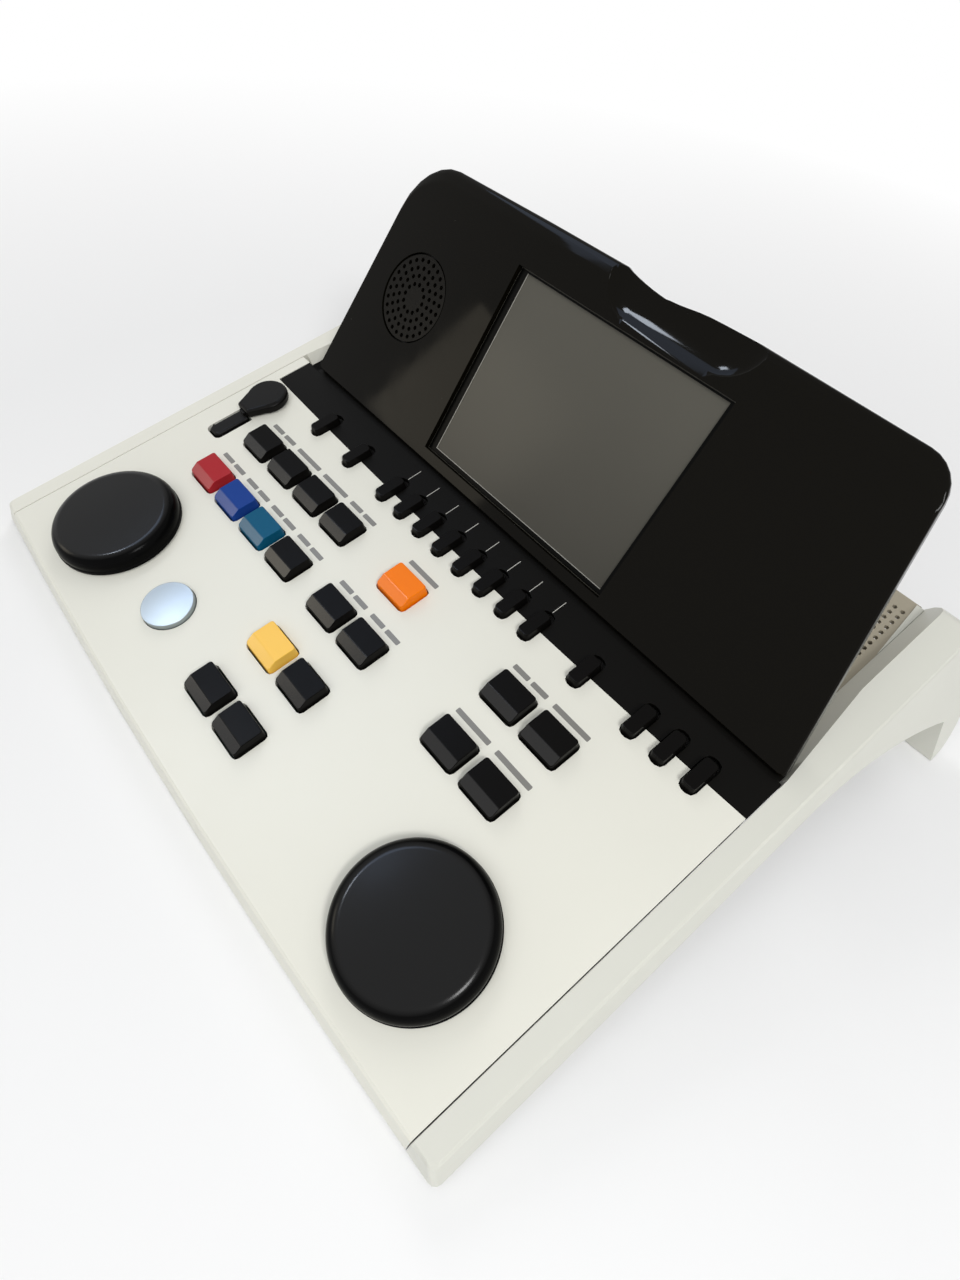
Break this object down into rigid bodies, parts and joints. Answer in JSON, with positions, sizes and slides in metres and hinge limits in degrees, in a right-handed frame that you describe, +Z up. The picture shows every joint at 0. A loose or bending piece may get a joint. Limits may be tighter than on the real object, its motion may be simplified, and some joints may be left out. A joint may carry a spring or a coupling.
{
  "type": "audiometer",
  "caption": "Desktop audiometer: sloping case with two large dials, square and narrow push keys, folding talk microphone and a tilting display lid with loudspeaker.",
  "frame": {"origin": "centre of the bounding box at the table surface, under the feet, lid as in the picture", "axes": "+X to the right of the user, +Y from the user to the rear, +Z up"},
  "size_m": [0.3864, 0.285, 0.1405],
  "materials": {
    "ivory": "fine-textured warm ivory moulding",
    "pale_grey": "fine-textured pale moulding",
    "black": "satin black",
    "black_gloss": "polished black",
    "charcoal": "textured charcoal",
    "screen": "grey display behind a clear window",
    "silver": "satin metallised cap",
    "steel": "plain plated steel",
    "rubber": "soft black rubber",
    "board": "green circuit board",
    "red": "satin red",
    "blue": "satin blue",
    "teal": "satin teal",
    "orange": "satin orange",
    "yellow": "satin yellow"
  },
  "bodies": {
    "case": {"base_tray": "charcoal", "top_cover": "ivory", "key_strip": "black", "left_rail": "pale_grey", "right_rail": "pale_grey", "rear_well": "pale_grey", "rear_panel": "charcoal", "jack_row": "black", "usb_port": "steel", "power_inlet": "black", "control_board": "board", "hinge_mount_1": "steel", "hinge_mount_2": "steel", "foot_1": "rubber", "foot_2": "rubber", "foot_3": "rubber", "foot_4": "rubber"},
    "lid": {"lid_front": "black_gloss", "lid_back": "black", "lcd_panel": "screen", "speaker_grille": "black"},
    "dial_left": {"dial_left": "black"},
    "dial_right": {"dial_right": "black"},
    "push_button": {"push_button": "silver"},
    "microphone": {"mic_arm": "black", "mic_head": "black"},
    "key_red": {"key_red": "red"},
    "key_blue": {"key_blue": "blue"},
    "key_teal": {"key_teal": "teal"},
    "key_orange": {"key_orange": "orange"},
    "key_yellow": {"key_yellow": "yellow"},
    "key_a1": {"key_a1": "black"},
    "key_a2": {"key_a2": "black"},
    "key_a3": {"key_a3": "black"},
    "key_a4": {"key_a4": "black"},
    "key_b4": {"key_b4": "black"},
    "key_c1": {"key_c1": "black"},
    "key_c2": {"key_c2": "black"},
    "key_d2": {"key_d2": "black"},
    "key_e1": {"key_e1": "black"},
    "key_e2": {"key_e2": "black"},
    "key_f1": {"key_f1": "black"},
    "key_f2": {"key_f2": "black"},
    "key_g1": {"key_g1": "black"},
    "key_g2": {"key_g2": "black"},
    "narrow_key_1": {"narrow_key_1": "black"},
    "narrow_key_2": {"narrow_key_2": "black"},
    "narrow_key_3": {"narrow_key_3": "black"},
    "narrow_key_4": {"narrow_key_4": "black"},
    "narrow_key_5": {"narrow_key_5": "black"},
    "narrow_key_6": {"narrow_key_6": "black"},
    "narrow_key_7": {"narrow_key_7": "black"},
    "narrow_key_8": {"narrow_key_8": "black"},
    "narrow_key_9": {"narrow_key_9": "black"},
    "narrow_key_10": {"narrow_key_10": "black"},
    "narrow_key_11": {"narrow_key_11": "black"},
    "narrow_key_12": {"narrow_key_12": "black"},
    "narrow_key_13": {"narrow_key_13": "black"},
    "narrow_key_14": {"narrow_key_14": "black"}
  },
  "joints": [
    {"name": "lid_hinge", "type": "hinge", "parent": "case", "child": "lid", "pos_m": [0, 0.02837, 0.04101], "axis": [1, 0, 0], "range_deg": [-46.5, 20]},
    {"name": "dial_left_turn", "type": "hinge", "parent": "case", "child": "dial_left", "pos_m": [-0.1184, -0.10156, 0.01879], "axis": [0, -0.1908, 0.9816], "continuous": true},
    {"name": "dial_right_turn", "type": "hinge", "parent": "case", "child": "dial_right", "pos_m": [0.1144, -0.10156, 0.01879], "axis": [0, -0.1908, 0.9816], "continuous": true},
    {"name": "push_button_press", "type": "slide", "parent": "case", "child": "push_button", "axis": [0, 0.1908, -0.9816], "range_m": [0, 0.0018], "stiffness_N_per_m": 300, "springref_m": -0.0016},
    {"name": "microphone_fold", "type": "hinge", "parent": "case", "child": "microphone", "pos_m": [-0.1422, -0.03623, 0.03017], "axis": [1, 0, 0], "range_deg": [0, 90]},
    {"name": "key_red_press", "type": "slide", "parent": "case", "child": "key_red", "axis": [0, 0.1908, -0.9816], "range_m": [0, 0.0018], "stiffness_N_per_m": 250, "springref_m": -0.0016},
    {"name": "key_blue_press", "type": "slide", "parent": "case", "child": "key_blue", "axis": [0, 0.1908, -0.9816], "range_m": [0, 0.0018], "stiffness_N_per_m": 250, "springref_m": -0.0016},
    {"name": "key_teal_press", "type": "slide", "parent": "case", "child": "key_teal", "axis": [0, 0.1908, -0.9816], "range_m": [0, 0.0018], "stiffness_N_per_m": 250, "springref_m": -0.0016},
    {"name": "key_orange_press", "type": "slide", "parent": "case", "child": "key_orange", "axis": [0, 0.1908, -0.9816], "range_m": [0, 0.0018], "stiffness_N_per_m": 250, "springref_m": -0.0016},
    {"name": "key_yellow_press", "type": "slide", "parent": "case", "child": "key_yellow", "axis": [0, 0.1908, -0.9816], "range_m": [0, 0.0018], "stiffness_N_per_m": 250, "springref_m": -0.0016},
    {"name": "key_a1_press", "type": "slide", "parent": "case", "child": "key_a1", "axis": [0, 0.1908, -0.9816], "range_m": [0, 0.0018], "stiffness_N_per_m": 250, "springref_m": -0.0016},
    {"name": "key_a2_press", "type": "slide", "parent": "case", "child": "key_a2", "axis": [0, 0.1908, -0.9816], "range_m": [0, 0.0018], "stiffness_N_per_m": 250, "springref_m": -0.0016},
    {"name": "key_a3_press", "type": "slide", "parent": "case", "child": "key_a3", "axis": [0, 0.1908, -0.9816], "range_m": [0, 0.0018], "stiffness_N_per_m": 250, "springref_m": -0.0016},
    {"name": "key_a4_press", "type": "slide", "parent": "case", "child": "key_a4", "axis": [0, 0.1908, -0.9816], "range_m": [0, 0.0018], "stiffness_N_per_m": 250, "springref_m": -0.0016},
    {"name": "key_b4_press", "type": "slide", "parent": "case", "child": "key_b4", "axis": [0, 0.1908, -0.9816], "range_m": [0, 0.0018], "stiffness_N_per_m": 250, "springref_m": -0.0016},
    {"name": "key_c1_press", "type": "slide", "parent": "case", "child": "key_c1", "axis": [0, 0.1908, -0.9816], "range_m": [0, 0.0018], "stiffness_N_per_m": 250, "springref_m": -0.0016},
    {"name": "key_c2_press", "type": "slide", "parent": "case", "child": "key_c2", "axis": [0, 0.1908, -0.9816], "range_m": [0, 0.0018], "stiffness_N_per_m": 250, "springref_m": -0.0016},
    {"name": "key_d2_press", "type": "slide", "parent": "case", "child": "key_d2", "axis": [0, 0.1908, -0.9816], "range_m": [0, 0.0018], "stiffness_N_per_m": 250, "springref_m": -0.0016},
    {"name": "key_e1_press", "type": "slide", "parent": "case", "child": "key_e1", "axis": [0, 0.1908, -0.9816], "range_m": [0, 0.0018], "stiffness_N_per_m": 250, "springref_m": -0.0016},
    {"name": "key_e2_press", "type": "slide", "parent": "case", "child": "key_e2", "axis": [0, 0.1908, -0.9816], "range_m": [0, 0.0018], "stiffness_N_per_m": 250, "springref_m": -0.0016},
    {"name": "key_f1_press", "type": "slide", "parent": "case", "child": "key_f1", "axis": [0, 0.1908, -0.9816], "range_m": [0, 0.0018], "stiffness_N_per_m": 250, "springref_m": -0.0016},
    {"name": "key_f2_press", "type": "slide", "parent": "case", "child": "key_f2", "axis": [0, 0.1908, -0.9816], "range_m": [0, 0.0018], "stiffness_N_per_m": 250, "springref_m": -0.0016},
    {"name": "key_g1_press", "type": "slide", "parent": "case", "child": "key_g1", "axis": [0, 0.1908, -0.9816], "range_m": [0, 0.0018], "stiffness_N_per_m": 250, "springref_m": -0.0016},
    {"name": "key_g2_press", "type": "slide", "parent": "case", "child": "key_g2", "axis": [0, 0.1908, -0.9816], "range_m": [0, 0.0018], "stiffness_N_per_m": 250, "springref_m": -0.0016},
    {"name": "narrow_key_1_press", "type": "slide", "parent": "case", "child": "narrow_key_1", "axis": [0, 0.1908, -0.9816], "range_m": [0, 0.0018], "stiffness_N_per_m": 250, "springref_m": -0.0016},
    {"name": "narrow_key_2_press", "type": "slide", "parent": "case", "child": "narrow_key_2", "axis": [0, 0.1908, -0.9816], "range_m": [0, 0.0018], "stiffness_N_per_m": 250, "springref_m": -0.0016},
    {"name": "narrow_key_3_press", "type": "slide", "parent": "case", "child": "narrow_key_3", "axis": [0, 0.1908, -0.9816], "range_m": [0, 0.0018], "stiffness_N_per_m": 250, "springref_m": -0.0016},
    {"name": "narrow_key_4_press", "type": "slide", "parent": "case", "child": "narrow_key_4", "axis": [0, 0.1908, -0.9816], "range_m": [0, 0.0018], "stiffness_N_per_m": 250, "springref_m": -0.0016},
    {"name": "narrow_key_5_press", "type": "slide", "parent": "case", "child": "narrow_key_5", "axis": [0, 0.1908, -0.9816], "range_m": [0, 0.0018], "stiffness_N_per_m": 250, "springref_m": -0.0016},
    {"name": "narrow_key_6_press", "type": "slide", "parent": "case", "child": "narrow_key_6", "axis": [0, 0.1908, -0.9816], "range_m": [0, 0.0018], "stiffness_N_per_m": 250, "springref_m": -0.0016},
    {"name": "narrow_key_7_press", "type": "slide", "parent": "case", "child": "narrow_key_7", "axis": [0, 0.1908, -0.9816], "range_m": [0, 0.0018], "stiffness_N_per_m": 250, "springref_m": -0.0016},
    {"name": "narrow_key_8_press", "type": "slide", "parent": "case", "child": "narrow_key_8", "axis": [0, 0.1908, -0.9816], "range_m": [0, 0.0018], "stiffness_N_per_m": 250, "springref_m": -0.0016},
    {"name": "narrow_key_9_press", "type": "slide", "parent": "case", "child": "narrow_key_9", "axis": [0, 0.1908, -0.9816], "range_m": [0, 0.0018], "stiffness_N_per_m": 250, "springref_m": -0.0016},
    {"name": "narrow_key_10_press", "type": "slide", "parent": "case", "child": "narrow_key_10", "axis": [0, 0.1908, -0.9816], "range_m": [0, 0.0018], "stiffness_N_per_m": 250, "springref_m": -0.0016},
    {"name": "narrow_key_11_press", "type": "slide", "parent": "case", "child": "narrow_key_11", "axis": [0, 0.1908, -0.9816], "range_m": [0, 0.0018], "stiffness_N_per_m": 250, "springref_m": -0.0016},
    {"name": "narrow_key_12_press", "type": "slide", "parent": "case", "child": "narrow_key_12", "axis": [0, 0.1908, -0.9816], "range_m": [0, 0.0018], "stiffness_N_per_m": 250, "springref_m": -0.0016},
    {"name": "narrow_key_13_press", "type": "slide", "parent": "case", "child": "narrow_key_13", "axis": [0, 0.1908, -0.9816], "range_m": [0, 0.0018], "stiffness_N_per_m": 250, "springref_m": -0.0016},
    {"name": "narrow_key_14_press", "type": "slide", "parent": "case", "child": "narrow_key_14", "axis": [0, 0.1908, -0.9816], "range_m": [0, 0.0018], "stiffness_N_per_m": 250, "springref_m": -0.0016}
  ]
}
